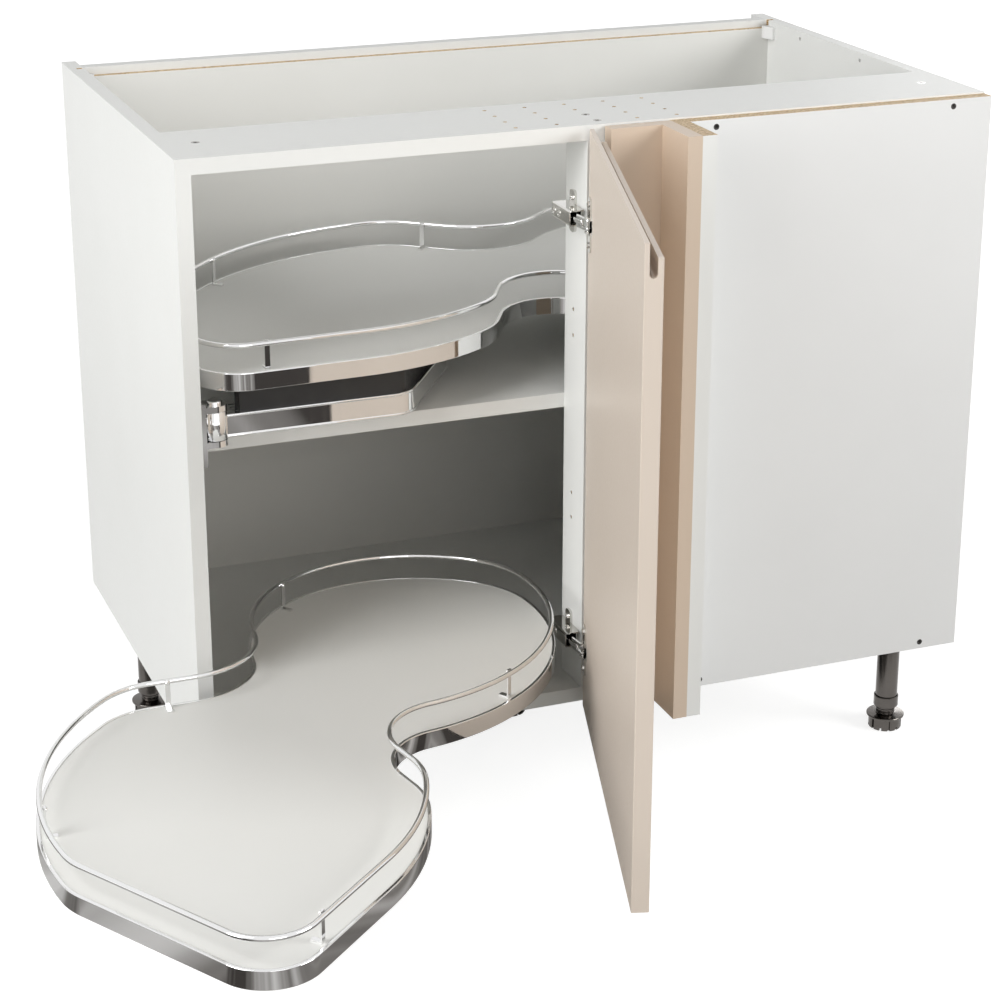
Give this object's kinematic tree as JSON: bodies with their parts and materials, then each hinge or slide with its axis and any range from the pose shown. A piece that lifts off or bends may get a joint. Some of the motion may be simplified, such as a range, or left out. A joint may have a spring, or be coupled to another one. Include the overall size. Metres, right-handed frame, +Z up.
{
  "type": "blind corner base cabinet",
  "caption": "Blind corner kitchen base cabinet with one hinged slab door, a fixed blind panel, adjustable feet and waisted trays that swing out on cranked arms.",
  "frame": {"origin": "on the floor, at the centre of the middle foot's underside", "axes": "+X to the right along the front, +Y towards the back, +Z up; the door side faces -Y"},
  "size_m": [1.2452, 1.2085, 0.87],
  "materials": {
    "white_board": "satin melamine",
    "back_board": "satin melamine with raw edges",
    "deck_board": "satin laminate",
    "cashmere_board": "satin lacquer",
    "white_plastic": "matte",
    "black_plastic": "satin",
    "dark_cover": "matte",
    "dark_screw": "blackened",
    "nickel": "nickel plated",
    "steel": "turned",
    "chrome": "mirror chrome"
  },
  "bodies": {
    "cabinet": {"left_side_panel": "white_board", "right_side_panel": "white_board", "base_panel": "white_board", "shelf_panel": "white_board", "centre_upright": "white_board", "front_top_rail": "white_board", "top_rail_fittings": "nickel", "rear_top_rail": "white_board", "back_panel": "back_board", "back_panel_clips": "white_plastic", "blind_panel": "white_board", "blind_panel_screws": "dark_screw", "corner_filler_board": "cashmere_board", "corner_post_board": "cashmere_board", "corner_return_board": "white_board", "hinge_mounting_plates": "nickel", "hinge_plate_screws": "nickel", "hinge_arms": "nickel", "hinge_adjusting_screws": "nickel", "leg_sockets": "black_plastic", "leg_tubes": "black_plastic", "lower_pivot_bracket": "chrome", "lower_bracket_screws": "chrome", "lower_pivot_pin": "chrome", "upper_pivot_bracket": "chrome", "upper_bracket_screws": "chrome", "upper_pivot_pin": "chrome"},
    "door": {"door": "cashmere_board", "hinge_cups": "nickel", "hinge_cup_screws": "nickel"},
    "hinge_arm_links": {"hinge_arm_links": "nickel"},
    "hinge_cup_links": {"hinge_cup_links": "nickel"},
    "lower_arm": {"lower_swing_arm": "chrome", "lower_arm_cover": "dark_cover", "lower_tray_stud": "steel"},
    "lower_tray": {"lower_tray_bearing": "dark_cover", "lower_tray_deck": "deck_board", "lower_tray_trim": "chrome", "lower_tray_rail": "chrome", "lower_tray_rail_posts": "chrome", "lower_tray_post_screws": "chrome"},
    "upper_arm": {"upper_swing_arm": "chrome", "upper_arm_cover": "dark_cover", "upper_tray_stud": "steel"},
    "upper_tray": {"upper_tray_bearing": "dark_cover", "upper_tray_deck": "deck_board", "upper_tray_trim": "chrome", "upper_tray_rail": "chrome", "upper_tray_rail_posts": "chrome", "upper_tray_post_screws": "chrome"},
    "foot_front_left": {"foot_front_left": "black_plastic"},
    "foot_front_right": {"foot_front_right": "black_plastic"},
    "foot_back_left": {"foot_back_left": "black_plastic"},
    "foot_back_right": {"foot_back_right": "black_plastic"},
    "foot_centre": {"foot_centre": "black_plastic"}
  },
  "joints": [
    {"name": "door_swing", "type": "hinge", "parent": "cabinet", "child": "door", "pos_m": [-0.0063, -0.3134, 0.509], "axis": [0, 0, 1], "range_deg": [-20, 22]},
    {"name": "lower_arm_swing", "type": "hinge", "parent": "cabinet", "child": "lower_arm", "pos_m": [-0.46, -0.2655, 0.19], "axis": [0, 0, 1], "range_deg": [0, 28]},
    {"name": "upper_arm_swing", "type": "hinge", "parent": "cabinet", "child": "upper_arm", "pos_m": [-0.46, -0.2655, 0.553], "axis": [0, 0, -1], "range_deg": [0, 24]},
    {"name": "lower_tray_turn", "type": "hinge", "parent": "lower_arm", "child": "lower_tray", "pos_m": [-0.43649, -0.60814, 0.233], "axis": [0, 0, 1], "range_deg": [-2.9, 0.1]},
    {"name": "upper_tray_turn", "type": "hinge", "parent": "upper_arm", "child": "upper_tray", "pos_m": [-0.14905, -0.11968, 0.596], "axis": [0, 0, 1], "range_deg": [-0.1, 52.9]},
    {"name": "hinge_arm_link_turn", "type": "hinge", "parent": "cabinet", "child": "hinge_arm_links", "pos_m": [-0.036, -0.2875, 0.4975], "axis": [0, 0, 1], "range_deg": [-4.1, 4.5]},
    {"name": "hinge_cup_link_turn", "type": "hinge", "parent": "door", "child": "hinge_cup_links", "pos_m": [-0.03183, -0.3235, 0.4975], "axis": [0, 0, 1], "range_deg": [-17.7, 16.1]},
    {"name": "foot_front_left_turn", "type": "hinge", "parent": "cabinet", "child": "foot_front_left", "pos_m": [-0.455, -0.2235, 0.02], "axis": [0, 0, 1], "continuous": true},
    {"name": "foot_front_right_turn", "type": "hinge", "parent": "cabinet", "child": "foot_front_right", "pos_m": [0.455, -0.2235, 0.02], "axis": [0, 0, 1], "continuous": true},
    {"name": "foot_back_left_turn", "type": "hinge", "parent": "cabinet", "child": "foot_back_left", "pos_m": [-0.455, 0.1745, 0.02], "axis": [0, 0, 1], "continuous": true},
    {"name": "foot_back_right_turn", "type": "hinge", "parent": "cabinet", "child": "foot_back_right", "pos_m": [0.455, 0.1745, 0.02], "axis": [0, 0, 1], "continuous": true},
    {"name": "foot_centre_turn", "type": "hinge", "parent": "cabinet", "child": "foot_centre", "pos_m": [0, 0, 0.02], "axis": [0, 0, 1], "continuous": true}
  ],
  "couplings": [
    {"joint": "lower_tray_turn", "follows": "lower_arm_swing", "ratio": -0.1},
    {"joint": "upper_tray_turn", "follows": "upper_arm_swing", "ratio": 2.2},
    {"joint": "hinge_arm_link_turn", "follows": "door_swing", "ratio": 0.2},
    {"joint": "hinge_cup_link_turn", "follows": "door_swing", "ratio": -0.8}
  ]
}
